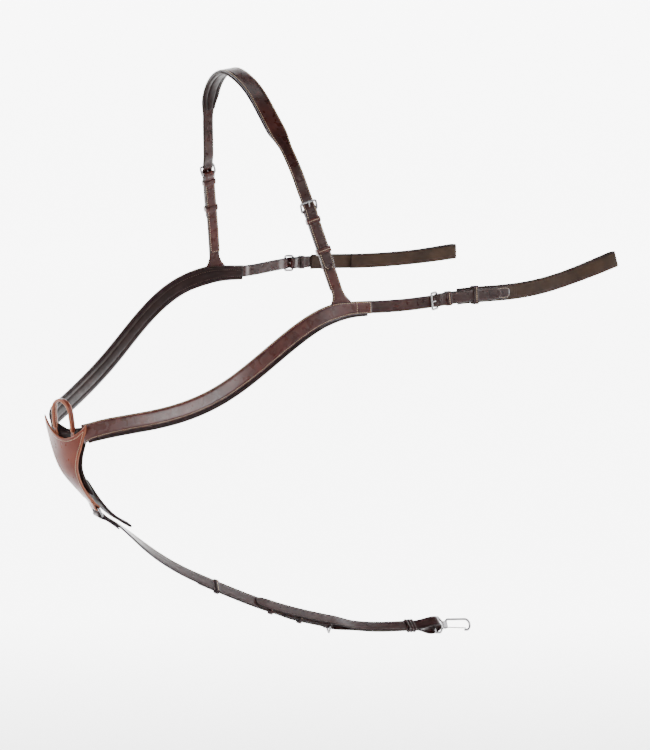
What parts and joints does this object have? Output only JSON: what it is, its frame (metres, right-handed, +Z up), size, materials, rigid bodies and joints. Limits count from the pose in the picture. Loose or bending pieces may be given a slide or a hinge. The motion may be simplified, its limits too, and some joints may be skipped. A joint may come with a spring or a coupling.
{
  "type": "breastplate martingale",
  "caption": "Padded leather hunting breastplate with buckled neck strap, saddle loops and a girth strap ending in a snap hook.",
  "frame": {"origin": "middle of the underside of the padded strap that lies over the horse's neck", "axes": "+X towards the horse's tail, +Y towards its right, +Z up"},
  "size_m": [0.9112, 0.4392, 0.9893],
  "materials": {
    "chestnut_leather": "smooth bridle leather, light edge",
    "mahogany_leather": "smooth dark bridle leather with a waxed shine",
    "loop_leather": "plain dull strap leather",
    "girth_leather": "smooth dark bridle leather",
    "padding": "soft lining leather over foam",
    "bright_steel": "polished stainless steel"
  },
  "bodies": {
    "breastplate": {"chest_shield": "chestnut_leather", "chest_backing": "padding", "martingale_loop": "mahogany_leather", "wither_strap": "mahogany_leather", "wither_pad": "padding", "shoulder_strap_left": "mahogany_leather", "shoulder_pad_left": "padding", "junction_upright_left": "mahogany_leather", "saddle_billet_left": "mahogany_leather", "saddle_buckle_frame_left": "bright_steel", "saddle_chape_left": "mahogany_leather", "saddle_loop_strap_left": "loop_leather", "saddle_fixed_keeper_left": "mahogany_leather", "wither_buckle_frame_left": "bright_steel", "wither_fixed_keeper_left": "mahogany_leather", "shoulder_strap_right": "mahogany_leather", "shoulder_pad_right": "padding", "junction_upright_right": "mahogany_leather", "saddle_billet_right": "mahogany_leather", "saddle_buckle_frame_right": "bright_steel", "saddle_chape_right": "mahogany_leather", "saddle_loop_strap_right": "loop_leather", "saddle_fixed_keeper_right": "mahogany_leather", "wither_buckle_frame_right": "bright_steel", "wither_fixed_keeper_right": "mahogany_leather"},
    "saddle_tongue_left": {"saddle_buckle_tongue_left": "bright_steel"},
    "saddle_runner_left": {"saddle_runner_keeper_left": "mahogany_leather"},
    "wither_tongue_left": {"wither_buckle_tongue_left": "bright_steel"},
    "wither_runner_left": {"wither_runner_keeper_left": "mahogany_leather"},
    "saddle_tongue_right": {"saddle_buckle_tongue_right": "bright_steel"},
    "saddle_runner_right": {"saddle_runner_keeper_right": "mahogany_leather"},
    "wither_tongue_right": {"wither_buckle_tongue_right": "bright_steel"},
    "wither_runner_right": {"wither_runner_keeper_right": "mahogany_leather"},
    "link": {"girth_link": "bright_steel"},
    "girth": {"girth_strap": "girth_leather", "girth_billet": "girth_leather", "girth_keeper_1": "girth_leather", "girth_keeper_2": "girth_leather", "girth_keeper_3": "girth_leather", "girth_loop_keeper": "girth_leather"},
    "girth_buckle": {"girth_buckle_frame": "bright_steel"},
    "girth_tongue": {"girth_buckle_tongue": "bright_steel"},
    "snap": {"snap_hook_body": "bright_steel", "snap_gate_pin": "bright_steel", "snap_gate_spring": "bright_steel"},
    "gate": {"snap_gate": "bright_steel"}
  },
  "joints": [
    {"name": "saddle_tongue_left_hinge", "type": "hinge", "parent": "breastplate", "child": "saddle_tongue_left", "pos_m": [0.22329, -0.2077, -0.33198], "axis": [-0.0552, 0.0952, 0.9939], "range_deg": [0, 12]},
    {"name": "saddle_runner_left_slide", "type": "slide", "parent": "breastplate", "child": "saddle_runner_left", "axis": [0.9996, -0.021, -0.0207], "range_m": [-0.006, 0.006]},
    {"name": "wither_tongue_left_hinge", "type": "hinge", "parent": "breastplate", "child": "wither_tongue_left", "pos_m": [0.02523, -0.15631, -0.18511], "axis": [0.9544, -0.1687, 0.2461], "range_deg": [0, 12]},
    {"name": "wither_runner_left_slide", "type": "slide", "parent": "breastplate", "child": "wither_runner_left", "axis": [-0.214, 0.2567, 0.9425], "range_m": [-0.006, 0.006]},
    {"name": "saddle_tongue_right_hinge", "type": "hinge", "parent": "breastplate", "child": "saddle_tongue_right", "pos_m": [0.22367, 0.20764, -0.33443], "axis": [-0.0341, 0.0032, -0.9994], "range_deg": [0, 12]},
    {"name": "saddle_runner_right_slide", "type": "slide", "parent": "breastplate", "child": "saddle_runner_right", "axis": [0.997, 0.0185, -0.0752], "range_m": [-0.006, 0.006]},
    {"name": "wither_tongue_right_hinge", "type": "hinge", "parent": "breastplate", "child": "wither_tongue_right", "pos_m": [0.03175, 0.15433, -0.16391], "axis": [-0.9749, -0.0075, -0.2226], "range_deg": [0, 12]},
    {"name": "wither_runner_right_slide", "type": "slide", "parent": "breastplate", "child": "wither_runner_right", "axis": [0.2161, 0.2431, -0.9456], "range_m": [-0.006, 0.006]},
    {"name": "link_hinge", "type": "hinge", "parent": "breastplate", "child": "link", "pos_m": [-0.2625, 0, -0.634], "axis": [0, 1, 0], "range_deg": [0, 30]},
    {"name": "girth_hinge", "type": "hinge", "parent": "link", "child": "girth", "pos_m": [-0.257, 0, -0.6465], "axis": [0, 1, 0], "range_deg": [0, 45]},
    {"name": "girth_buckle_hinge", "type": "hinge", "parent": "girth", "child": "girth_buckle", "pos_m": [0.15988, 0, -0.9019], "axis": [0.1992, 0.8145, 0.545], "range_deg": [-12, 12]},
    {"name": "girth_tongue_hinge", "type": "hinge", "parent": "girth_buckle", "child": "girth_tongue", "pos_m": [0.15988, 0, -0.9019], "axis": [0.1992, 0.8145, 0.545], "range_deg": [0, 8]},
    {"name": "snap_hinge", "type": "hinge", "parent": "girth", "child": "snap", "pos_m": [0.37956, 0, -0.95227], "axis": [-0.1546, -0.5116, -0.8452], "range_deg": [-12, 12]},
    {"name": "snap_gate_hinge", "type": "hinge", "parent": "snap", "child": "gate", "pos_m": [0.40101, -0.00225, -0.96003], "axis": [0.0921, -0.8592, 0.5033], "range_deg": [0, 13], "stiffness_Nm_per_rad": 0.03, "springref_deg": -14.32}
  ]
}
